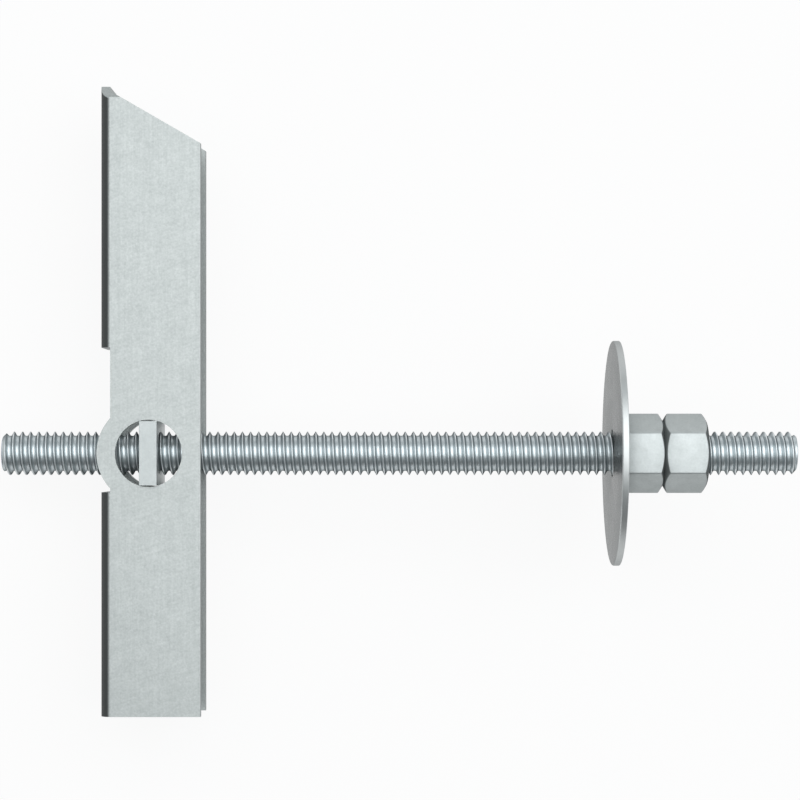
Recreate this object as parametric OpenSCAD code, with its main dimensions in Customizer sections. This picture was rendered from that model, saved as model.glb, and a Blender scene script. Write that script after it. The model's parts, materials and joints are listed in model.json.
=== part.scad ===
// Toggle anchor: a bent sheet-metal bar that swings on a tapped plate, run along a threaded rod,
// with a large washer, a clamping nut and a lock nut on the room side of the wall.
// The solids are laid out about the pivot, with x along the rod, y along the bar and z along the pivot,
// and are then laid down as the anchor rests on a table: on the rod's tail and the washer's rim.

/* [Rod] */
// Outside diameter of the rod's thread
rod_d = 8; // [7:0.1:8.4]
// Length of the rod, end to end
rod_length = 145.8; // [140:0.1:200]
// Length of rod behind the pivot
rod_tail = 27.3; // [20:0.1:32]
// Length of the 45 degree chamfer on each end of the rod
rod_chamfer = 0.85; // [0.4:0.05:1.5]

/* [Toggle bar] */
// Thickness of the sheet
sheet = 1.6; // [1.2:0.1:1.7]
// Width across the outside of the two cheeks
bar_width = 12.2; // [12:0.1:13.4]
// Outside radius of the two bends
bend_r = 1.8; // [1.75:0.05:2.4]
// Pivot to the outside of the web
web_reach = 8.75; // [8.4:0.05:9.2]
// Pivot to the open edge, which is also the radius of the boss round the pivot hole
edge_reach = 9.45; // [9.2:0.05:11]
// Pivot to the tip of the long arm
arm_long = 66.85; // [50:0.05:80]
// Pivot to the end of the short arm
arm_short = 47.9; // [35:0.1:60]
// Slope of the long arm's end, from the web towards the open edge, in degrees
end_slope = 30; // [15:1:40]
// Length of web that stands past the outside of the cheeks at the long arm's tip
tongue = 2.15; // [1.2:0.05:3]
// Diameter of the pivot hole in each cheek
pivot_hole = 12.2; // [12.15:0.05:13]
// Web window that clears the rod, from the pivot towards the long arm
window_long = 19.25; // [14:0.25:26]
// Web window that clears the rod, from the pivot towards the short arm
window_short = 7.1; // [6.9:0.1:9]

/* [Cross nut] */
// Thickness of the tapped plate along the rod
plate_t = 3.2; // [2:0.1:3.2]
// Height of the plate along the bar
plate_h = 11.7; // [10.5:0.1:11.7]
// How far the plate stands out of each cheek
plate_proud = 1; // [0.4:0.1:2]

/* [Washer] */
// Outside diameter
washer_d = 41.4; // [34:0.1:42]
// Thickness
washer_t = 1.25; // [1:0.05:2]
// Pivot to the face that meets the wall
washer_x = 84.7; // [70:0.1:88]
// Room round the rod in the washer's hole, across the diameter
washer_room = 0.9; // [0.6:0.1:1.6]
// Break on the washer's outer edges
washer_break = 0.15; // [0.05:0.05:0.3]

/* [Nuts] */
// Width across flats
nut_af = 12.75; // [12.5:0.05:13]
// Width across the rounded corners
nut_ac = 14.5; // [14.1:0.05:14.9]
// Height of each nut
nut_h = 8; // [6:0.1:9]
// Diameter of the chamfered end faces
nut_face_d = 11.8; // [11:0.1:12.3]
// Slope of the end chamfers, in degrees
nut_slope = 30; // [20:1:40]
// Gap between the stacked faces of the washer and the nuts
face_gap = 0.03; // [0.01:0.01:0.1]

/* [Tapped holes] */
// Room between the rod and a tapped hole, on the radius
thread_room = 0.05; // [0.02:0.01:0.1]
// Depth of the 45 degree countersink at each mouth
countersink = 0.35; // [0.1:0.05:0.6]

/* [Hidden] */
$fn = 96;
// Length that a cutting solid runs past what it cuts
past = 1;

// Inside of the channel
inner_half = bar_width / 2 - sheet;
// Half the flat width of the web, between the bends
web_half = bar_width / 2 - bend_r;

// Places along the rod
clamp_x = washer_x + washer_t + face_gap;
lock_x = clamp_x + nut_h + face_gap;

// Resting on the washer's rim and the shoulder of the tail's chamfer
shoulder = rod_tail - rod_chamfer;
lean = atan((washer_d - rod_d) / 2 / (washer_x + washer_break + shoulder));
pivot_z = shoulder * sin(lean) + rod_d / 2 * cos(lean);
pivot_x = -(rod_length / 2 - rod_tail) * cos(lean);
pivot_y = -(arm_long - arm_short) / 2;

// Lays the anchor down, with the floor at z = 0 and the origin under its middle
module at_rest() {
  translate([pivot_x, pivot_y, pivot_z]) rotate([0, -lean, 0]) children();
}

// Turns a solid that stands on z so that it runs along the rod from x, with its own x along the bar
module along_rod(x) {
  translate([x, 0, 0]) rotate([90, 0, 90]) children();
}

// Height of the long arm's sloped end at a distance x from the pivot
function slope_y(x) = arm_long - (x + web_reach) * tan(end_slope);

// Plain core of a tapped hole of a given depth, countersunk at both mouths
module tapped_hole(depth) {
  core = rod_d / 2 + thread_room;
  mouth = core + countersink;
  rotate_extrude()
    polygon([
      [0, -past],
      [mouth, -past],
      [mouth, 0],
      [core, countersink],
      [core, depth - countersink],
      [mouth, depth],
      [mouth, depth + past],
      [0, depth + past]
    ]);
}

// Slab from x0 to x1 with its two corners at x0 rounded
module bent_outline(x0, x1, half, r) {
  translate([x0 + r, -half]) square([x1 - x0 - r, 2 * half]);
  translate([x0, r - half]) square([2 * r, 2 * (half - r)]);
  for (side = [-1, 1])
    translate([x0 + r, side * (half - r)]) circle(r);
}

// Section of the bar: a channel with its web at -x, folded from one sheet
module channel_section() {
  difference() {
    bent_outline(-web_reach, edge_reach, bar_width / 2, bend_r);
    bent_outline(sheet - web_reach, edge_reach + past, inner_half, bend_r - sheet);
  }
}

// What is sheared from one cheek at the long arm's end: the slope up to the bend, and the oblique cut
// through the bend that leaves the web's square tongue standing
module cheek_shear() {
  fall = tongue / bend_r;
  reach = bar_width / 2 + past;
  bend_x = bend_r - web_reach;
  translate([0, 0, web_half])
    linear_extrude(reach - web_half)
      polygon([
        [bend_x, slope_y(bend_x)],
        [edge_reach + past, slope_y(edge_reach + past)],
        [edge_reach + past, arm_long + past],
        [bend_x, arm_long + past]
      ]);
  along_rod(-web_reach - past)
    linear_extrude(web_reach + edge_reach + 2 * past)
      polygon([
        [arm_long, web_half],
        [arm_long + past, web_half],
        [arm_long + past, reach],
        [arm_long - fall * (reach - web_half), reach]
      ]);
}

// Window in the web, cut back to the bend lines, through which the rod passes
module web_window() {
  translate([-web_reach - past, -window_short, -bar_width / 2 - past])
    cube([bend_r + past, window_long + window_short, bar_width + 2 * past]);
}

// Round boss of sheet about the pivot, in the plane of one cheek
module boss() {
  translate([0, 0, inner_half]) cylinder(r = edge_reach, h = sheet);
}

module both_cheeks() {
  children();
  mirror([0, 0, 1]) children();
}

module threaded_rod() {
  r = rod_d / 2;
  color([0.62, 0.64, 0.65]) at_rest() along_rod(-rod_tail)
    rotate_extrude()
      polygon([
        [0, 0],
        [r - rod_chamfer, 0],
        [r, rod_chamfer],
        [r, rod_length - rod_chamfer],
        [r - rod_chamfer, rod_length],
        [0, rod_length]
      ]);
}

module cross_nut() {
  color([0.7, 0.72, 0.72]) at_rest()
    difference() {
      cube([plate_t, plate_h, bar_width + 2 * plate_proud], center = true);
      along_rod(-plate_t / 2) tapped_hole(plate_t);
    }
}

module toggle_bar() {
  color([0.8, 0.84, 0.83]) at_rest()
    difference() {
      union() {
        difference() {
          translate([0, arm_long, 0])
            rotate([90, 0, 0]) linear_extrude(arm_long + arm_short) channel_section();
          both_cheeks() cheek_shear();
          web_window();
        }
        both_cheeks() boss();
      }
      cylinder(d = pivot_hole, h = bar_width + 2 * past, center = true);
    }
}

module washer() {
  hole = (rod_d + washer_room) / 2;
  rim = washer_d / 2;
  color([0.72, 0.73, 0.72]) at_rest() along_rod(washer_x)
    rotate_extrude()
      polygon([
        [hole, 0],
        [rim - washer_break, 0],
        [rim, washer_break],
        [rim, washer_t - washer_break],
        [rim - washer_break, washer_t],
        [hole, washer_t]
      ]);
}

// Hexagon nut with chamfered ends and rounded corners, one flat facing along the pivot
module nut(x) {
  face = nut_face_d / 2;
  corner = nut_ac / 2;
  fall = (corner - face) * tan(nut_slope);
  at_rest() along_rod(x)
    difference() {
      intersection() {
        linear_extrude(nut_h) circle(d = nut_af / cos(30), $fn = 6);
        rotate_extrude()
          polygon([
            [0, 0],
            [face, 0],
            [corner, fall],
            [corner, nut_h - fall],
            [face, nut_h],
            [0, nut_h]
          ]);
      }
      tapped_hole(nut_h);
    }
}

module clamp_nut() {
  color([0.78, 0.79, 0.78]) nut(clamp_x);
}

module lock_nut() {
  color([0.76, 0.77, 0.76]) nut(lock_x);
}

threaded_rod();
cross_nut();
toggle_bar();
washer();
clamp_nut();
lock_nut();
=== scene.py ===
"""Toggle anchor of bright zinc-plated steel over a pale floor, seen from above.

Sizes inside the classes are millimetres about the pivot, with x along the rod, y along the bar and
z along the pivot's axis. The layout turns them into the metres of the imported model's frame.
"""

import json
import logging
import math
from dataclasses import dataclass
from enum import Enum
from typing import Any, Iterable, Optional, Union

import bmesh
import bpy
import numpy as np
from mathutils import Matrix


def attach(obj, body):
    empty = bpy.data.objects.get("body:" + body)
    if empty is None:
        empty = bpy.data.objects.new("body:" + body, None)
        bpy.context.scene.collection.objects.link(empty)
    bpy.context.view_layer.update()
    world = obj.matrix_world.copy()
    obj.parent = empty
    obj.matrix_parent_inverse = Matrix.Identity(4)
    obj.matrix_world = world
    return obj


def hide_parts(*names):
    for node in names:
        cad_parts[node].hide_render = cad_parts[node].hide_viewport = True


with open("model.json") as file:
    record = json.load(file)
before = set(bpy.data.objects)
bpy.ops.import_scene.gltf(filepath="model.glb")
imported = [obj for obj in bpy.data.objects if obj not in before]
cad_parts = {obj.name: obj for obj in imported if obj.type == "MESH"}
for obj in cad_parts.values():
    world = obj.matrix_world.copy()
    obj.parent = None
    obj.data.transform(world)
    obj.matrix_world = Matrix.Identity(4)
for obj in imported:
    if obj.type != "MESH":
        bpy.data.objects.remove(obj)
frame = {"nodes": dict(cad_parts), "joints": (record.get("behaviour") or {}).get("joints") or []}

LOG = logging.getLogger("toggle_anchor")
MM = 0.001
TURN = 2 * math.pi
WELD = 1e-7
IMAGE_SIDE = 800

Number = Union[float, "Signal"]
Sockets = dict[Union[int, str], Any]


class Slot(Enum):
    """Material slots of the record, by the piece that wears them."""

    ROD = "rod_zinc"
    PLATE = "plate_zinc"
    SHEET = "sheet_zinc"
    WASHER = "washer_zinc"
    NUT = "nut_zinc"


class Body(Enum):
    """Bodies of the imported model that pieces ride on."""

    ROD = "rod"
    PLATE = "plate"
    BAR = "bar"
    DISC = "disc"
    CLAMP = "clamp"
    LOCK = "lock"


@dataclass(frozen=True)
class Layout:
    """Where the pivot lies and how the anchor's own three axes are turned in the model's frame.

    Attributes:
        pivot: where the bar's pivot meets the rod's axis, in metres.
        rod: direction along the rod, towards the stud.
        bar: direction along the bar's long arm.
        pin: direction along the pivot's axis.
    """

    pivot: np.ndarray
    rod: np.ndarray
    bar: np.ndarray
    pin: np.ndarray

    @classmethod
    def from_joints(cls, joints: Iterable[dict[str, Any]]) -> "Layout":
        """Reads the layout from the joints.

        Args:
            joints: the record's joints, among them the bar's tilt and the cross nut's travel.

        Returns:
            The layout, with the bar's axis square to the other two.
        """
        by_name = {joint["name"]: joint for joint in joints}
        tilt = by_name["bar_tilt"]
        rod = np.array(by_name["cross_nut_travel"]["axis"], float)
        pin = np.array(tilt["axis"], float)
        rod /= np.linalg.norm(rod)
        pin /= np.linalg.norm(pin)
        return cls(np.array(tilt["pos_m"], float), rod, np.cross(pin, rod), pin)

    @property
    def lean(self) -> float:
        """Angle of the rod above the floor, in radians."""
        return math.asin(float(self.rod[2]))

    def place(self, x: Any, y: Any, z: Any) -> np.ndarray:
        """Turns places about the pivot into the model's frame.

        Args:
            x: distance along the rod in millimetres, a number or an array.
            y: distance along the bar, of the same shape or one that broadcasts.
            z: distance along the pivot's axis, likewise.

        Returns:
            Points in metres, with the three coordinates on the last axis.
        """
        x, y, z = np.broadcast_arrays(*(np.asarray(value, float) for value in (x, y, z)))
        offset = x[..., None] * self.rod + y[..., None] * self.bar + z[..., None] * self.pin
        return self.pivot + MM * offset


class Signal:
    """A shader socket that takes part in arithmetic, each operator adding one Math node."""

    def __init__(self, graph: "Graph", socket: bpy.types.NodeSocket) -> None:
        """Wraps an output socket of a graph."""
        self.graph = graph
        self.socket = socket

    def _math(self, operation: str, first: Number, second: Number = 0.0) -> "Signal":
        """Adds one Math node.

        Args:
            operation: what it does.
            first: its first value.
            second: its second value, where it takes one.

        Returns:
            Its result.
        """
        made = self.graph.add("ShaderNodeMath", {"operation": operation}, {0: first, 1: second})
        return Signal(self.graph, made.outputs[0])

    def __add__(self, other: Number) -> "Signal":
        """Sum."""
        return self._math("ADD", self, other)

    def __sub__(self, other: Number) -> "Signal":
        """Difference."""
        return self._math("SUBTRACT", self, other)

    def __rsub__(self, other: Number) -> "Signal":
        """Difference from a number."""
        return self._math("SUBTRACT", other, self)

    def __mul__(self, other: Number) -> "Signal":
        """Product."""
        return self._math("MULTIPLY", self, other)

    def __truediv__(self, other: Number) -> "Signal":
        """Quotient."""
        return self._math("DIVIDE", self, other)

    def __abs__(self) -> "Signal":
        """Size without sign."""
        return self._math("ABSOLUTE", self)

    def root(self) -> "Signal":
        """Square root."""
        return self._math("SQRT", self)

    def most(self, other: Number) -> "Signal":
        """The larger of two values."""
        return self._math("MAXIMUM", self, other)

    def fraction(self) -> "Signal":
        """What is left over past the whole number below."""
        return self._math("FRACT", self)

    def bearing(self, other: "Signal") -> "Signal":
        """Angle of the point that has this value up and the other one along, in radians."""
        return self._math("ARCTAN2", self, other)

    def ramp(self, low: float, high: float) -> "Signal":
        """Rises smoothly from 0 at low to 1 at high, or falls where low is the larger.

        Args:
            low: value at which the result is 0.
            high: value at which the result is 1.

        Returns:
            The eased value.
        """
        settings = {"interpolation_type": "SMOOTHSTEP", "clamp": True}
        sockets = {"Value": self, "From Min": low, "From Max": high, "To Min": 0.0, "To Max": 1.0}
        return Signal(self.graph, self.graph.add("ShaderNodeMapRange", settings, sockets).outputs[0])


class Graph:
    """The node tree of a material or of the world."""

    def __init__(self, tree: bpy.types.NodeTree) -> None:
        """Takes an empty tree."""
        self.tree = tree
        tree.nodes.clear()

    def add(
        self,
        kind: str,
        settings: Optional[dict[str, Any]] = None,
        sockets: Optional[Sockets] = None,
    ) -> bpy.types.Node:
        """Adds one node.

        Args:
            kind: the node's type.
            settings: its properties, set before its sockets.
            sockets: a value, a socket or a signal for each input, by name or number.

        Returns:
            The node.
        """
        made = self.tree.nodes.new(kind)
        for key, value in (settings or {}).items():
            setattr(made, key, value)
        for key, value in (sockets or {}).items():
            if isinstance(value, Signal):
                value = value.socket
            if isinstance(value, bpy.types.NodeSocket):
                self.tree.links.new(value, made.inputs[key])
            else:
                made.inputs[key].default_value = value
        return made

    def signal(self, kind: str, output: Union[int, str], sockets: Optional[Sockets] = None) -> Signal:
        """Adds one node and returns one of its outputs."""
        return Signal(self, self.add(kind, None, sockets).outputs[output])

    def split(self, vector: Signal) -> tuple[Signal, Signal, Signal]:
        """Takes a vector apart.

        Args:
            vector: the vector.

        Returns:
            Its three coordinates.
        """
        made = self.add("ShaderNodeSeparateXYZ", None, {0: vector})
        x, y, z = (Signal(self, socket) for socket in made.outputs)
        return x, y, z

    def mix(self, share: Number, first: Any, second: Any) -> bpy.types.NodeSocket:
        """Mixes two colours.

        Args:
            share: how much of the second colour is taken.
            first: a colour or a colour socket.
            second: likewise.

        Returns:
            The mixed colour's socket.
        """
        factor, one, other, mixed = 0, 6, 7, 2
        sockets = {factor: share, one: first, other: second}
        return self.add("ShaderNodeMix", {"data_type": "RGBA"}, sockets).outputs[mixed]


def rgba(red: float, green: float, blue: float) -> tuple[float, float, float, float]:
    """An opaque colour."""
    return red, green, blue, 1.0


def from_rod(y: Signal, z: Signal) -> Signal:
    """Distance from the rod's axis of a point about the pivot."""
    return (y * y + z * z).root()


@dataclass(frozen=True)
class ZincFinish:
    """Zinc plating on steel: a pale cool metal with soft mottling and a fine grain.

    Attributes:
        slot: the record's slot that the finish belongs to.
        bright: colour where the plating is cleanest.
        dull: colour where it is clouded.
        roughness: middle roughness of the surface.
        metallic: share of the surface that mirrors as metal, the rest scattering as a chalky bloom.
        mottle: size of the clouds, in millimetres.
        grain: size of the fine grain, in millimetres.
        relief: height of the grain's bump, in millimetres.
        cloud: strength of the clouds.
        speck: strength of the grain in the colour.
        edge: share of the glancing reflection that the dull plating keeps.
        highlight_colour: colour of the painted highlight.
        dirt_and_shade: share of the dull colour that is left where it is stained or given painted shade.
        uneven: spread of the roughness over the clouds.
        gritty: spread of the roughness over the grain.
        bite: strength of the grain's bump.
    """

    slot: Slot
    bright: tuple[float, float, float]
    dull: tuple[float, float, float]
    roughness: float
    metallic: float
    mottle: float = 7.0
    grain: float = 0.35
    relief: float = 0.006
    cloud: float = 0.35
    speck: float = 0.9
    edge: float = 1.0
    highlight_colour: tuple[float, float, float] = (0.6, 0.625, 0.625)
    dirt_and_shade: float = 0.2
    uneven: float = 0.11
    gritty: float = 0.1
    bite: float = 0.5

    def noise(self, graph: Graph, place: Signal, size: float, octaves: float = 3.0) -> Signal:
        """Cloudy noise.

        Args:
            graph: the material's nodes.
            place: where it is read.
            size: size of its features, in the units of place.
            octaves: how many finer layers it holds.

        Returns:
            A value between -0.5 and 0.5.
        """
        sockets = {"Vector": place, "Scale": 1.0 / size, "Detail": octaves, "Roughness": 0.55}
        return graph.signal("ShaderNodeTexNoise", 0, sockets) - 0.5

    def stretched(self, graph: Graph, place: Signal, stretch: tuple[float, float, float]) -> Signal:
        """Coordinates drawn out along each axis.

        Args:
            graph: the material's nodes.
            place: the coordinates.
            stretch: the factor along each axis.

        Returns:
            The new coordinates.
        """
        sockets = {"Vector": place, "Scale": tuple(1.0 / factor for factor in stretch)}
        return graph.signal("ShaderNodeMapping", 0, sockets)

    def local(self, graph: Graph, layout: Layout) -> Signal:
        """Millimetres about the pivot along the anchor's own axes, from Object coordinates.

        Args:
            graph: the material's nodes.
            layout: where the anchor lies.

        Returns:
            The coordinates.
        """
        scale = 1.0 / MM
        centre = [float(axis @ layout.pivot) for axis in (layout.rod, layout.bar, layout.pin)]
        place = graph.signal("ShaderNodeTexCoord", "Object")
        sockets = {
            "Vector": place,
            "Location": tuple(-scale * value for value in centre),
            "Rotation": (0.0, layout.lean, 0.0),
            "Scale": (scale, scale, scale),
        }
        return graph.signal("ShaderNodeMapping", 0, sockets)

    def stain_and_shade(self, graph: Graph, place: Signal) -> tuple[Number, Number]:
        """Extra darkening, from stains or painted shade, and extra roughness of this finish, none on
        plain plating.
        """
        return 0.0, 0.0

    def painted_highlight(self, graph: Graph, place: Signal) -> Number:
        """Share that gets a painted highlight, none on plain plating."""
        return 0.0

    def streaks(self, graph: Graph, place: Signal) -> Number:
        """Drawing lines that ride on the mottling, none on plain plating."""
        return 0.0

    def build(self, layout: Layout) -> bpy.types.Material:
        """Makes the material.

        Args:
            layout: where the anchor lies.

        Returns:
            The material.
        """
        material = bpy.data.materials.new(self.slot.value)
        material.use_nodes = True
        graph = Graph(material.node_tree)
        place = self.local(graph, layout)
        clouds = self.noise(graph, place, self.mottle)
        grain = self.noise(graph, place, self.grain, 2.0)
        dark, rough = self.stain_and_shade(graph, place)
        middle = 0.5
        mottled = clouds * 2.0 * self.cloud + grain * self.speck
        cloudy = mottled + self.streaks(graph, place) + middle
        colour = graph.mix(cloudy, rgba(*self.bright), rgba(*self.dull))
        # Stains and painted shade darken the colour towards a darker dull colour.
        if isinstance(dark, Signal):
            colour = graph.mix(dark, colour, rgba(*(self.dirt_and_shade * value for value in self.dull)))
        # A painted highlight lightens the colour where a finish paints one.
        highlighted = self.painted_highlight(graph, place)
        if isinstance(highlighted, Signal):
            colour = graph.mix(highlighted, colour, rgba(*self.highlight_colour))
        roughness = clouds * self.uneven + grain * self.gritty + self.roughness + rough
        sockets = {"Strength": self.bite, "Distance": self.relief * MM, "Height": grain}
        bump = graph.add("ShaderNodeBump", None, sockets)
        surface = graph.add(
            "ShaderNodeBsdfPrincipled",
            None,
            {
                "Base Color": colour,
                "Metallic": self.metallic,
                "Roughness": roughness,
                "Specular Tint": rgba(self.edge, self.edge, self.edge),
                "Normal": bump.outputs[0],
            },
        )
        graph.add("ShaderNodeOutputMaterial", None, {"Surface": surface.outputs[0]})
        return material


@dataclass(frozen=True)
class SheetFinish(ZincFinish):
    """Plated strip with rolling lines along the bar, painted shade on its bends and dull where it is
    sheared.

    Attributes:
        bend_x: where the flat cheek ends and the bend begins, along the rod.
        bend_z: where the flat web ends, along the pivot's axis.
        tip: end of the long arm's web, along the bar.
        fall: how steeply the bends are cut back from there.
        window: from the short arm's bends to the long arm's, along the bar.
        sheared: the open edge, along the rod.
        soft: reach over which the bends' painted shade comes in, in millimetres.
        bend_painted_shade: how far the bends are darkened as painted shade, for their dark reflection.
        bend_rough: extra roughness of the bends.
        edge_dark: how far the open edge is darkened.
        rolled: size of the rolling lines along the rod, the bar and the pivot's axis.
        scuffed: likewise of the scuffs, before they are turned.
        scuff_turn: angle of the scuffs to the bar, in radians.
        rolled_depth: strength of the rolling lines.
        scuffed_depth: strength of the scuffs.
    """

    bend_x: float = -6.95
    bend_z: float = 4.3
    tip: float = 66.85
    fall: float = 2.15 / 1.8
    window: tuple[float, float] = (-7.1, 19.25)
    sheared: float = 9.45
    soft: float = 0.6
    bend_painted_shade: float = 0.93
    bend_rough: float = 0.05
    edge_dark: float = 0.25
    rolled: tuple[float, float, float] = (0.35, 14.0, 0.35)
    scuffed: tuple[float, float, float] = (0.4, 9.0, 0.4)
    scuff_turn: float = 1.25
    rolled_depth: float = 0.7
    scuffed_depth: float = 0.6

    def stain_and_shade(self, graph: Graph, place: Signal) -> tuple[Number, Number]:
        """Paints shade on the outside of the bends, for their dark reflection, and darkens the sheared
        open edge.

        Args:
            graph: the material's nodes.
            place: millimetres about the pivot.

        Returns:
            Extra darkening and extra roughness.
        """
        x, y, z = graph.split(place)
        middle = sum(self.window) / 2
        half = self.window[1] - middle
        blend = 0.05
        along = abs(y - middle).ramp(half - blend, half + blend)
        off_cheek = x.ramp(self.bend_x, self.bend_x - self.soft)
        off_web = abs(z).ramp(self.bend_z, self.bend_z + self.soft)
        clear, full = 0.08, 0.25
        cut = (y + (abs(z) - self.bend_z) * self.fall).ramp(self.tip - clear, self.tip - full)
        # Painted shade on the outside of the bends, stopping short of the tip's cut facet.
        bend = off_cheek * off_web * along * cut
        inner, outer = 0.08, 0.03
        edge = x.ramp(self.sheared - inner, self.sheared - outer)
        return (bend * self.bend_painted_shade).most(edge * self.edge_dark), bend * self.bend_rough

    def streaks(self, graph: Graph, place: Signal) -> Number:
        """Fine rolling lines along the bar, with fainter scuffs aslant across them.

        Args:
            graph: the material's nodes.
            place: millimetres about the pivot.

        Returns:
            How much duller the plating is, either way about 0.
        """
        sockets = {"Vector": place, "Rotation": (0.0, 0.0, self.scuff_turn)}
        turned = graph.signal("ShaderNodeMapping", 0, sockets)
        lines = self.noise(graph, self.stretched(graph, place, self.rolled), 1.0, 2.0)
        scuffs = self.noise(graph, self.stretched(graph, turned, self.scuffed), 1.0, 2.0)
        return lines * self.rolled_depth + scuffs * self.scuffed_depth


@dataclass(frozen=True, kw_only=True)
class ThreadFinish(ZincFinish):
    """Plated rolled thread, with a painted highlight on its crests and painted shade on the flank that
    faces the stud.

    Attributes:
        rod: the rod that wears it.
        shaded_flank: from where to where the painted shade on the flank runs, as shares of the pitch
            from a root.
        flank_painted_shade: how far that flank is darkened as painted shade.
        root_rough: extra roughness of the roots.
        end_rough: extra roughness of the cropped ends.
        crest_highlight: how far the crests get the painted highlight.
    """

    rod: "ThreadedRod"
    shaded_flank: tuple[float, float] = (0.57, 0.7)
    flank_painted_shade: float = 0.5
    root_rough: float = 0.06
    end_rough: float = 0.22
    crest_highlight: float = 0.8

    def sunk(self, y: Signal, z: Signal) -> Signal:
        """Depth under the crests as a share of the thread's height."""
        return (self.rod.diameter / 2 - from_rod(y, z)) / self.rod.depth

    def stain_and_shade(self, graph: Graph, place: Signal) -> tuple[Number, Number]:
        """Paints shade on the flank that faces the stud, for the dark line it shows, and roughens the
        roots and the cropped ends.

        The share of the pitch at a point is x / pitch less its turn about the rod, and what counts is
        the part past the whole number below.

        Args:
            graph: the material's nodes.
            place: millimetres about the pivot.

        Returns:
            Extra darkening and extra roughness.
        """
        x, y, z = graph.split(place)
        rod = self.rod
        turn = z.bearing(y) / TURN
        share = ((x + rod.tail) / rod.pitch - turn - rod.phase).fraction()
        low, high = self.shaded_flank
        wide, narrow, fade = 0.04, 0.03, 0.05
        # Painted shade on the flank that faces the stud.
        flank = share.ramp(low - wide, low + narrow) * share.ramp(high + fade, high - wide)
        sunk = self.sunk(y, z)
        root, under_root, upper = 1.0, 1.08, 0.2
        threaded = sunk.ramp(under_root, root)
        half = rod.length / 2
        inner, outer = 0.2, 0.05
        cropped = abs(x + rod.tail - half).ramp(half - inner, half - outer)
        rough = (sunk.ramp(upper, root) * self.root_rough).most(cropped * self.end_rough)
        return flank * threaded * self.flank_painted_shade, rough

    def painted_highlight(self, graph: Graph, place: Signal) -> Number:
        """Paints a highlight on the crests, by the distance from the rod's axis.

        Args:
            graph: the material's nodes.
            place: millimetres about the pivot.

        Returns:
            Share that gets the painted highlight.
        """
        _, y, z = graph.split(place)
        highlight_reach, bright = 0.3, 0.04
        return self.sunk(y, z).ramp(highlight_reach, bright) * self.crest_highlight


@dataclass(frozen=True, kw_only=True)
class RimFinish(ZincFinish):
    """Plated washer, with a painted highlight on its rim.

    Attributes:
        washer: the washer that wears it.
        lip: depth in millimetres from the rim at which it is fully torn and highlighted.
        torn: depth to which the punch's tear reaches.
        highlight_reach: depth to which the painted highlight reaches.
        rim_rough: extra roughness of the rim.
        rim_highlight: how far the rim is lightened as painted highlight.
    """

    washer: "Washer"
    lip: float = 0.05
    torn: float = 0.3
    highlight_reach: float = 0.22
    rim_rough: float = 0.16
    rim_highlight: float = 0.85

    def near_rim(self, graph: Graph, place: Signal, reach: float) -> Signal:
        """Rises towards the rim, by the distance from the rod's axis.

        Args:
            graph: the material's nodes.
            place: millimetres about the pivot.
            reach: depth under the rim at which it starts.

        Returns:
            0 up to there, and 1 at the lip.
        """
        _, y, z = graph.split(place)
        rim = self.washer.diameter / 2
        return from_rod(y, z).ramp(rim - reach, rim - self.lip)

    def stain_and_shade(self, graph: Graph, place: Signal) -> tuple[Number, Number]:
        """Roughens the rim, which the punch tore, and darkens nothing."""
        return 0.0, self.near_rim(graph, place, self.torn) * self.rim_rough

    def painted_highlight(self, graph: Graph, place: Signal) -> Number:
        """Paints a highlight on the rim."""
        return self.near_rim(graph, place, self.highlight_reach) * self.rim_highlight


@dataclass(frozen=True, kw_only=True)
class NutFinish(ZincFinish):
    """Plated nuts, their chamfers given painted shade for the dark gap between the nuts, most at each
    nut's end towards the stud.

    Attributes:
        clamp: the clamping nut.
        lock: the lock nut, of the same size.
        chamfer_painted_shade: how far the chamfers are darkened as painted shade.
        stud_side_painted_shade: how much further at each nut's end towards the stud.
        turned_rough: extra roughness of the chamfers.
    """

    clamp: "HexNut"
    lock: "HexNut"
    chamfer_painted_shade: float = 0.35
    stud_side_painted_shade: float = 0.45
    turned_rough: float = 0.05

    def stain_and_shade(self, graph: Graph, place: Signal) -> tuple[Number, Number]:
        """Paints shade on the chamfers, where the radius is the end face's plus the inset over
        tan(slope).

        Args:
            graph: the material's nodes.
            place: millimetres about the pivot.

        Returns:
            Extra darkening and extra roughness.
        """
        x, y, z = graph.split(place)
        clamp, lock = self.clamp, self.lock
        joint = (clamp.start + clamp.height + lock.start) / 2
        half = (lock.start - clamp.start) / 2
        inset = half - abs(abs(x - joint) - half)
        past = from_rod(y, z) - clamp.face / 2 - inset / math.tan(math.radians(clamp.slope))
        under, at = -0.1, -0.03
        chamfer = past.ramp(under, at)
        start, end = 0.4, 0.6
        # More painted shade at each nut's end towards the stud, which on the clamp nut lies in the gap
        # between the nuts.
        stud_side = ((x - joint) / (2 * half)).fraction().ramp(start, end)
        dark = stud_side * self.stud_side_painted_shade + self.chamfer_painted_shade
        return chamfer * dark, chamfer * self.turned_rough


def grid_faces(rows: int, columns: int, close_rows: bool, close_columns: bool) -> np.ndarray:
    """Corner numbers of the quads of a grid whose points are numbered along its rows.

    Args:
        rows: number of rows.
        columns: number of points in a row.
        close_rows: whether the last row joins the first.
        close_columns: whether a row's last point joins its first.

    Returns:
        One row of four corner numbers for each quad.
    """
    row = np.arange(rows if close_rows else rows - 1)[:, None]
    column = np.arange(columns if close_columns else columns - 1)[None, :]
    above = (row + 1) % rows
    beside = (column + 1) % columns
    here, there = row * columns, above * columns
    corners = (here + column, here + beside, there + beside, there + column)
    return np.stack(corners, -1).reshape(-1, 4)


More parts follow.
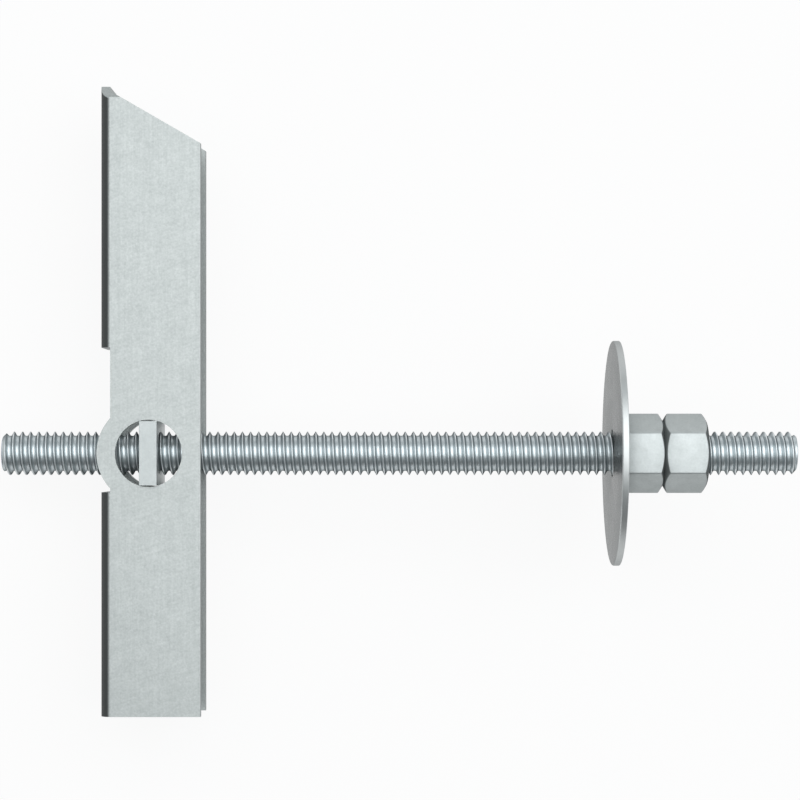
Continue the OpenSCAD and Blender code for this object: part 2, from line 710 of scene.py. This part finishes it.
def solid_mesh(name: str, points: np.ndarray, faces: np.ndarray, crease: float) -> bpy.types.Object:
    """Makes a closed piece from points and quads, merging what meets.

    Args:
        name: the piece's name.
        points: places in metres, any shape with the coordinates last.
        faces: corner numbers of the quads.
        crease: angle in degrees past which an edge is shaded sharp.

    Returns:
        The object, at the origin.
    """
    used, corners = np.unique(faces, return_inverse=True)
    mesh = bpy.data.meshes.new(name)
    mesh.from_pydata(points.reshape(-1, 3)[used].tolist(), [], corners.reshape(faces.shape).tolist())
    work = bmesh.new()
    work.from_mesh(mesh)
    bmesh.ops.remove_doubles(work, verts=work.verts, dist=WELD)
    bmesh.ops.dissolve_degenerate(work, edges=work.edges, dist=WELD)
    bmesh.ops.recalc_face_normals(work, faces=work.faces)
    work.to_mesh(mesh)
    work.free()
    return shaded_object(name, mesh, crease)


def shaded_object(name: str, mesh: bpy.types.Mesh, crease: float) -> bpy.types.Object:
    """Links a mesh into the scene, smooth except at its creases.

    Args:
        name: the object's name.
        mesh: its mesh.
        crease: angle in degrees past which an edge is shaded sharp.

    Returns:
        The object, at the origin.
    """
    mesh.polygons.foreach_set("use_smooth", np.ones(len(mesh.polygons), bool))
    mesh.set_sharp_from_angle(angle=math.radians(crease))
    piece = bpy.data.objects.new(name, mesh)
    bpy.context.scene.collection.objects.link(piece)
    return piece


@dataclass
class Piece:
    """A piece of the anchor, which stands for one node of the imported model.

    Attributes:
        name: the piece's name.
        node: the node that it stands for.
        body: the body that it rides on.
        slot: the material slot that its finish belongs to.
    """

    name: str
    node: str
    body: Body
    slot: Slot

    def build(self, layout: Layout) -> bpy.types.Object:
        """Makes the piece's mesh, each kind of piece in its own way."""
        raise NotImplementedError(self.name)

    def dress(self, made: bpy.types.Object, metal: bpy.types.Material) -> None:
        """Gives the piece its finish and lets it stand for its node.

        Args:
            made: the piece's object.
            metal: its finish.
        """
        made.data.materials.append(metal)
        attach(made, self.body.value)
        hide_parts(self.node)


@dataclass
class CutPiece(Piece):
    """A piece whose solid is right as it is, apart from its sharp edges, which are broken.

    Attributes:
        broken: reach of the rounding along the edges, in millimetres.
        rounds: faces across the rounding.
        sharp: angle between two faces past which their edge is broken, in degrees.
        crease: angle in degrees past which an edge is shaded sharp.
        level: angle in degrees under which neighbouring faces count as one.
        weld: distance in metres under which points count as one.
    """

    broken: float = 0.06
    rounds: int = 3
    sharp: float = 35.0
    crease: float = 30.0
    level: float = 0.4
    weld: float = 1e-6

    def build(self, layout: Layout) -> bpy.types.Object:
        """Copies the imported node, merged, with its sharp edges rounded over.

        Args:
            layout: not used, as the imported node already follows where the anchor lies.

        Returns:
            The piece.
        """
        work = bmesh.new()
        work.from_mesh(frame["nodes"][self.node].data)
        bmesh.ops.remove_doubles(work, verts=work.verts, dist=self.weld)
        level = math.radians(self.level)
        bmesh.ops.dissolve_limit(work, angle_limit=level, verts=work.verts, edges=work.edges)
        mesh = bpy.data.meshes.new(self.name)
        work.to_mesh(mesh)
        work.free()
        for stale in [layer.name for layer in mesh.attributes if layer.name == "custom_normal"]:
            mesh.attributes.remove(mesh.attributes[stale])
        made = shaded_object(self.name, mesh, self.crease)
        bevel = made.modifiers.new("broken edge", "BEVEL")
        bevel.width = self.broken * MM
        bevel.segments = self.rounds
        bevel.limit_method = "ANGLE"
        bevel.angle_limit = math.radians(self.sharp)
        bevel.harden_normals = True
        return made


@dataclass
class ToggleBar(CutPiece):
    """The toggle bar, one strip of sheet folded to a channel and sheared aslant at its long end."""

    name: str = "toggle_bar_folded"
    node: str = "toggle_bar"
    body: Body = Body.BAR
    slot: Slot = Slot.SHEET


@dataclass
class CrossNut(CutPiece):
    """The flat tapped plate that the rod screws into, with its two ends turning in the bar's cheeks."""

    name: str = "cross_nut_plate"
    node: str = "cross_nut"
    body: Body = Body.PLATE
    slot: Slot = Slot.PLATE


@dataclass
class ThreadedRod(Piece):
    """Rod with a rolled right-hand thread from end to end and chamfered ends.

    Attributes:
        diameter: across the crests.
        length: end to end.
        tail: length behind the pivot.
        chamfer: length of the 45 degree chamfer at each end.
        pitch: advance of one turn.
        depth: height of the thread from root to crest.
        phase: share of a turn by which the thread starts round from the bar's axis.
        steps: points round one turn.
        spare: turns wound past each end, to be cut off there.
        crease: angle in degrees past which an edge is shaded sharp.
    """

    name: str = "threaded_rod_wound"
    node: str = "threaded_rod"
    body: Body = Body.ROD
    slot: Slot = Slot.ROD
    diameter: float = 8.0
    length: float = 145.8
    tail: float = 27.3
    chamfer: float = 0.85
    pitch: float = 1.5
    depth: float = 0.77
    phase: float = 0.797
    steps: int = 48
    spare: int = 2
    crease: float = 75.0

    def profile(self) -> tuple[np.ndarray, np.ndarray]:
        """One pitch from root to root: a wide round root, straight flanks and a narrow crest.

        Returns:
            Distances along the pitch as shares of it, and heights above the root as shares of the depth.
        """
        rise_at = np.array([0.0, 0.09, 0.15, 0.195, 0.232, 0.44, 0.465])
        height = np.array([0.0, 0.015, 0.05, 0.1, 0.19, 0.915, 0.98])
        return np.r_[rise_at, 0.5, 1.0 - rise_at[:0:-1]], np.r_[height, 1.0, height[:0:-1]]

    def limit(self, x: np.ndarray) -> np.ndarray:
        """Largest radius that the end chamfers leave.

        Args:
            x: distance from the tail.

        Returns:
            The radius there.
        """
        inset = np.minimum(np.minimum(x, self.length - x), self.chamfer)
        return self.diameter / 2 - self.chamfer + inset

    def end_disc(self, x: float) -> tuple[np.ndarray, np.ndarray]:
        """Flat end of the rod as rings that shrink to its centre.

        Args:
            x: distance of the end from the tail.

        Returns:
            Points about the pivot, and the quads between the rings.
        """
        share = np.array([1.0, 0.97, 0.5, 0.0])[:, None]
        angle = np.arange(self.steps)[None, :] * (TURN / self.steps)
        radius = (self.diameter / 2 - self.chamfer) * share
        points = self.spun(x, radius, angle)
        return points, grid_faces(len(share), self.steps, False, True)

    def spun(self, x: Union[float, np.ndarray], radius: np.ndarray, angle: np.ndarray) -> np.ndarray:
        """Places points round the rod.

        Args:
            x: distance from the tail.
            radius: distance from the rod's axis.
            angle: turn about the rod from the bar's axis, in radians.

        Returns:
            Points about the pivot.
        """
        parts = np.broadcast_arrays(x - self.tail, radius * np.cos(angle), radius * np.sin(angle))
        return np.stack(parts, -1)

    def build(self, layout: Layout) -> bpy.types.Object:
        """Carries the thread's profile along its helix and closes the ends.

        A point at angle a and share s of the pitch lies at x = pitch * (a / 2 pi + s + phase), and the
        radius there is the root plus the profile's height, held under the end chamfers.

        Args:
            layout: where the anchor lies.

        Returns:
            The rod.
        """
        share, height = self.profile()
        rows = len(share)
        turns = math.ceil(self.length / self.pitch) + 2 * self.spare
        column = np.arange(turns * self.steps)[:, None]
        angle = (column - self.spare * self.steps) * (TURN / self.steps)
        x = self.pitch * (angle / TURN + share[None, :] + self.phase)
        held = np.clip(x, 0.0, self.length)
        crest = self.diameter / 2
        radius = np.minimum(crest - self.depth * (1.0 - height[None, :]), self.limit(held))
        wound = np.mod(column, self.steps) * (TURN / self.steps)
        points = self.spun(held, radius, wound)

        here = column * rows + np.arange(rows)[None, :]
        over = np.where(np.arange(rows)[None, :] == rows - 1, (column + self.steps) * rows, here + 1)
        quads = np.stack([here[:-1], here[1:], over[1:], over[:-1]], -1).reshape(-1, 4)
        quads = quads[(quads < points.reshape(-1, 3).shape[0]).all(1)]
        flat = held.reshape(-1)
        outside = (flat[quads] <= 0.0).all(1) | (flat[quads] >= self.length).all(1)
        quads = quads[~outside]

        parts, faces, count = [points.reshape(-1, 3)], [quads], points.shape[0] * rows
        for end in (0.0, self.length):
            disc, disc_faces = self.end_disc(end)
            parts.append(disc.reshape(-1, 3))
            faces.append(disc_faces + count)
            count += disc.shape[0] * disc.shape[1]
        placed = layout.place(*np.concatenate(parts).T)
        return solid_mesh(self.name, placed, np.concatenate(faces), self.crease)


@dataclass
class Washer(Piece):
    """Large punched washer, its rim rolled over on the side the punch came from.

    Attributes:
        diameter: across the rim.
        thickness: of the sheet.
        hole: across the hole.
        start: pivot to the face that meets the wall.
        rolled: radius of the edge on the punch's side.
        broken: radius of the other edges.
        steps: points round the rim.
        rounds: points along each round of the section.
        crease: angle in degrees past which an edge is shaded sharp.
    """

    name: str = "washer_punched"
    node: str = "washer"
    body: Body = Body.DISC
    slot: Slot = Slot.WASHER
    diameter: float = 41.4
    thickness: float = 1.25
    hole: float = 8.9
    start: float = 84.7
    rolled: float = 0.3
    broken: float = 0.12
    steps: int = 192
    rounds: int = 6
    crease: float = 30.0

    def corner(self, radius: float, x: float, r: float, turn: float) -> np.ndarray:
        """A quarter round of the section.

        Args:
            radius: of the round.
            x: its centre along the rod.
            r: its centre from the rod's axis.
            turn: the angle at which it starts, in quarter turns from +x towards outwards.

        Returns:
            Distances along the rod and from its axis, one row each point.
        """
        angle = (turn + np.linspace(0.0, 1.0, self.rounds)) * (TURN / 4)
        return np.stack([x + radius * np.cos(angle), r + radius * np.sin(angle)], -1)

    def section(self) -> np.ndarray:
        """Outline of the washer's section, once round its four corners.

        Returns:
            Distances along the rod and from its axis, one row each point.
        """
        rim, bore, thick = self.diameter / 2, self.hole / 2, self.thickness
        roll, edge = self.rolled, self.broken
        return np.concatenate(
            [
                self.corner(edge, thick - edge, rim - edge, 0.0),
                self.corner(roll, roll, rim - roll, 1.0),
                self.corner(edge, edge, bore + edge, 2.0),
                self.corner(edge, thick - edge, bore + edge, 3.0),
            ]
        )

    def build(self, layout: Layout) -> bpy.types.Object:
        """Spins the section about the rod.

        Args:
            layout: where the anchor lies.

        Returns:
            The washer.
        """
        section = self.section()
        angle = np.arange(self.steps)[None, :] * (TURN / self.steps)
        x, r = section[:, :1] + self.start, section[:, 1:]
        points = layout.place(x, r * np.cos(angle), r * np.sin(angle))
        faces = grid_faces(len(section), self.steps, True, True)
        return solid_mesh(self.name, points, faces, self.crease)


@dataclass
class HexNut(Piece):
    """Hexagon nut, chamfered at both ends, with rounded corners and countersunk mouths.

    Attributes:
        start: pivot to the nut's face nearer the bar.
        flats: width across the flats.
        corners: width across the rounded corners.
        height: along the rod.
        face: diameter of the end faces.
        slope: slope of the chamfers, in degrees.
        bore: radius of the hole.
        mouth: depth and width of the countersinks.
        edge: reach of the rounding where flats and chamfers meet.
        crease: angle in degrees past which an edge is shaded sharp.
    """

    slot: Slot = Slot.NUT
    start: float = 0.0
    flats: float = 12.75
    corners: float = 14.6
    height: float = 8.0
    face: float = 11.8
    slope: float = 30.0
    bore: float = 4.05
    mouth: float = 0.35
    edge: float = 0.09
    crease: float = 38.0

    def bearings(self) -> np.ndarray:
        """Angles round the nut, close together at the six corners, two of which lie along the bar.

        Returns:
            The angles from the bar's axis, in radians.
        """
        side, corner, step = 60.0, 29.4, 0.8
        even, points = 25.0, 21
        half = np.degrees(np.arccos(self.flats / self.corners))
        bend = np.array([half - step, half, corner])
        across = np.r_[-bend[::-1], np.linspace(-even, even, points), bend]
        return np.radians((side / 2 + across[None, :] + side * np.arange(6)[:, None]).reshape(-1))

    def outline(self, angle: np.ndarray) -> np.ndarray:
        """Radius of the hexagon, with its corners cut off.

        Args:
            angle: angle from the bar's axis, in radians.

        Returns:
            The radius there.
        """
        off = np.mod(angle, np.pi / 3) - np.pi / 6
        return np.minimum(self.flats / 2 / np.cos(off), self.corners / 2)

    def build(self, layout: Layout) -> bpy.types.Object:
        """Carries the nut's section round the rod.

        At each angle the section runs from the bore over a countersink, an end face, a chamfer whose
        depth is (outline - face radius) * tan(slope), the flat, and back down the other end. A point a
        little inside each edge rounds it over.

        Args:
            layout: where the anchor lies.

        Returns:
            The nut.
        """
        angle = self.bearings()
        outer = self.outline(angle)
        face = self.face / 2
        fall = np.tan(np.radians(self.slope))
        depth = (outer - face) * fall
        reach = self.edge
        mouth = self.bore + self.mouth
        dip, lip, bow, crown = 0.03, 0.05, 0.02, 0.01
        ring = np.ones_like(angle)
        half_section = [
            (self.mouth * ring, self.bore * ring),
            (dip * ring, (mouth - lip) * ring),
            (0.0 * ring, (mouth + lip) * ring),
            (0.0 * ring, (face - reach) * ring),
            (dip * ring, (face - bow) * ring),
            (reach * fall * ring, np.minimum(face + reach, outer - reach)),
            (depth - reach * fall, outer - reach),
            (depth - crown, outer - lip),
            (depth + reach, outer),
        ]
        x, r = (np.array(column) for column in zip(*half_section))
        x = np.concatenate([x, self.height - x[::-1]])
        r = np.concatenate([r, r[::-1]])
        points = layout.place(x + self.start, r * np.cos(angle), r * np.sin(angle))
        return solid_mesh(self.name, points, grid_faces(len(x), len(angle), True, True), self.crease)


def facing(layout: Layout, place: np.ndarray) -> Matrix:
    """Pose of a camera or lamp that looks down the pivot's axis, with the bar's long arm up.

    Args:
        layout: where the anchor lies.
        place: where the camera or lamp hangs, in metres.

    Returns:
        The pose.
    """
    pose = np.eye(4)
    pose[:3, :3] = np.stack([layout.rod, layout.bar, layout.pin], -1)
    pose[:3, 3] = place
    return Matrix(pose.tolist())


@dataclass(frozen=True)
class SoftBox:
    """Broad lamp that hangs over the rod.

    Attributes:
        name: the lamp's name.
        tilt: angle from straight over the rod towards the bar's long arm, in degrees.
        reach: distance from the rod, in millimetres.
        start: its end nearer the rod's tail, along the rod.
        end: its other end.
        width: across the rod, in millimetres.
        radiance: brightness of its face, where 1 is white.
    """

    name: str
    tilt: float = 14.0
    reach: float = 700.0
    start: float = -283.0
    end: float = 820.0
    width: float = 808.0
    radiance: float = 1.7

    def hang(self, layout: Layout) -> None:
        """Hangs the lamp, facing the rod.

        Args:
            layout: where the anchor lies.
        """
        data = bpy.data.lights.new(self.name, "AREA")
        data.shape = "RECTANGLE"
        data.size = MM * (self.end - self.start)
        data.size_y = MM * self.width
        data.energy = math.pi * data.size * data.size_y * self.radiance
        angle = math.radians(self.tilt)
        middle = (self.start + self.end) / 2
        place = layout.place(middle, self.reach * math.sin(angle), self.reach * math.cos(angle))
        lamp = bpy.data.objects.new(self.name, data)
        lamp.matrix_world = facing(layout, place) @ Matrix.Rotation(-angle, 4, "X")
        bpy.context.scene.collection.objects.link(lamp)


@dataclass
class Studio:
    """Pale floor, soft light from above and the camera square over the rod.

    Attributes:
        distance: camera to the rod's axis, in millimetres.
        along: place over the rod that the lens looks straight down on, past the pivot.
        lens: focal length, in millimetres.
        sensor: width of the sensor, in millimetres.
        sight: pixel of the photograph that lies on the lens's axis.
        clip: nearest and farthest distance seen, in metres.
        floor_side: side of the square floor, in metres.
        floor_drop: how far the floor lies under the anchor, clear of every pose, in millimetres.
        floor_grey: how much light the floor scatters.
        floor_white: share of plain white where the floor is looked at.
    """

    distance: float = 416.9
    along: float = 46.6
    lens: float = 101.8
    sensor: float = 36.0
    sight: tuple[float, float] = (405.0, 453.3)
    clip: tuple[float, float] = (0.01, 60.0)
    floor_side: float = 40.0
    floor_drop: float = 8.0
    floor_grey: float = 0.8
    floor_white: float = 0.9

    def camera(self, layout: Layout) -> None:
        """Hangs the camera over the rod with its sensor shifted to the photograph's framing.

        Args:
            layout: where the anchor lies.
        """
        data = bpy.data.cameras.new("camera")
        data.lens = self.lens
        data.sensor_width = self.sensor
        middle = IMAGE_SIDE / 2
        data.shift_x = (middle - self.sight[0]) / IMAGE_SIDE
        data.shift_y = (self.sight[1] - middle) / IMAGE_SIDE
        data.clip_start, data.clip_end = self.clip
        camera = bpy.data.objects.new("camera", data)
        camera.matrix_world = facing(layout, layout.place(self.along, 0.0, self.distance))
        bpy.context.scene.collection.objects.link(camera)
        bpy.context.scene.camera = camera

    def seen(self, graph: Graph) -> Signal:
        """Tells the rays that look from those that carry light.

        Args:
            graph: the nodes of a material.

        Returns:
            1 for rays from the camera, mirrors and glass, and otherwise 0.
        """
        path = graph.add("ShaderNodeLightPath")
        names = ("Is Camera Ray", "Is Glossy Ray", "Is Transmission Ray")
        camera, glossy, through = (Signal(graph, path.outputs[name]) for name in names)
        return camera.most(glossy).most(through)

    def floor(self) -> None:
        """Lays the floor, which looks white and keeps a soft shadow."""
        half = self.floor_side / 2
        corners = [(-half, -half, 0.0), (half, -half, 0.0), (half, half, 0.0), (-half, half, 0.0)]
        mesh = bpy.data.meshes.new("floor")
        mesh.from_pydata(corners, [], [(0, 1, 2, 3)])
        floor = bpy.data.objects.new("floor", mesh)
        floor.location.z = -self.floor_drop * MM
        bpy.context.scene.collection.objects.link(floor)
        material = bpy.data.materials.new("floor")
        material.use_nodes = True
        graph = Graph(material.node_tree)
        grey = rgba(self.floor_grey, self.floor_grey, self.floor_grey)
        matt = graph.add("ShaderNodeBsdfDiffuse", None, {"Color": grey})
        white = graph.add("ShaderNodeEmission", None, {"Color": rgba(1.0, 1.0, 1.0), "Strength": 1.0})
        share = self.seen(graph) * self.floor_white
        sockets = {0: share, 1: matt.outputs[0], 2: white.outputs[0]}
        shown = graph.add("ShaderNodeMixShader", None, sockets)
        graph.add("ShaderNodeOutputMaterial", None, {"Surface": shown.outputs[0]})
        mesh.materials.append(material)

    def sky(self) -> None:
        """Hangs soft light all round, dim low down over the short arm, with a pale horizon."""
        world = bpy.data.worlds.new("studio")
        world.use_nodes = True
        bpy.context.scene.world = world
        graph = Graph(world.node_tree)
        x, y, z = graph.split(graph.signal("ShaderNodeTexCoord", "Generated"))
        overhead = z.ramp(0.3, 1.0) * 0.3
        long_arm = y.ramp(-0.3, 0.7) * 0.42
        stud_end = x.ramp(0.35, 0.85) * 0.42
        tail_end = x.ramp(-0.4, -0.9) * 0.36
        dimmest = 0.06
        glow = overhead + long_arm + (stud_end + tail_end) + dimmest
        clear, hazy = 0.08, 0.03
        pale = z.ramp(clear, hazy) * self.seen(graph)
        colour = graph.mix(pale, rgba(0.93, 0.98, 1.0), rgba(0.97, 0.97, 0.97))
        back = graph.add("ShaderNodeBackground", None, {"Color": colour, "Strength": glow.most(pale)})
        graph.add("ShaderNodeOutputWorld", None, {"Surface": back.outputs[0]})

    def build(self, layout: Layout) -> None:
        """Sets the camera, the floor and the light.

        Args:
            layout: where the anchor lies.
        """
        self.camera(layout)
        self.floor()
        self.sky()
        SoftBox("soft_box").hang(layout)
        bpy.context.scene.view_settings.view_transform = "Standard"


def main() -> None:
    """Builds the anchor's pieces, dresses them and sets up the studio."""
    logging.basicConfig(level=logging.INFO, format="%(message)s")
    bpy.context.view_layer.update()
    layout = Layout.from_joints(frame["joints"])
    rod = ThreadedRod()
    washer = Washer()
    clamp = HexNut("clamp_nut_hex", "clamp_nut", Body.CLAMP, start=85.98)
    lock = HexNut("lock_nut_hex", "lock_nut", Body.LOCK, start=94.01)
    finishes = (
        SheetFinish(
            Slot.SHEET,
            bright=(0.478, 0.506, 0.501),
            dull=(0.372, 0.4, 0.395),
            roughness=0.4,
            metallic=0.6,
            mottle=2.2,
            cloud=0.14,
            edge=0.5,
            dirt_and_shade=0.12,
            speck=1.6,
        ),
        ThreadFinish(
            Slot.ROD,
            bright=(0.655, 0.71, 0.73),
            dull=(0.56, 0.615, 0.635),
            roughness=0.32,
            metallic=0.92,
            mottle=1.5,
            grain=0.2,
            edge=0.0,
            highlight_colour=(0.89, 0.93, 0.945),
            rod=rod,
        ),
        ZincFinish(
            Slot.PLATE,
            bright=(0.465, 0.495, 0.495),
            dull=(0.38, 0.41, 0.41),
            roughness=0.4,
            metallic=0.74,
            mottle=2.0,
            cloud=0.2,
        ),
        RimFinish(
            Slot.WASHER,
            bright=(0.5, 0.52, 0.52),
            dull=(0.4, 0.42, 0.42),
            roughness=0.28,
            metallic=0.95,
            mottle=2.4,
            cloud=0.6,
            edge=0.45,
            washer=washer,
        ),
        NutFinish(
            Slot.NUT,
            bright=(0.572, 0.61, 0.61),
            dull=(0.477, 0.51, 0.51),
            roughness=0.46,
            metallic=0.76,
            mottle=1.6,
            cloud=0.5,
            edge=0.05,
            clamp=clamp,
            lock=lock,
        ),
    )
    metals = {finish.slot: finish.build(layout) for finish in finishes}
    for piece in (rod, ToggleBar(), CrossNut(), washer, clamp, lock):
        made = piece.build(layout)
        piece.dress(made, metals[piece.slot])
        LOG.info("%s: %d faces, rides on %s", made.name, len(made.data.polygons), piece.body.value)
    Studio().build(layout)


if __name__ == "__main__":
    main()
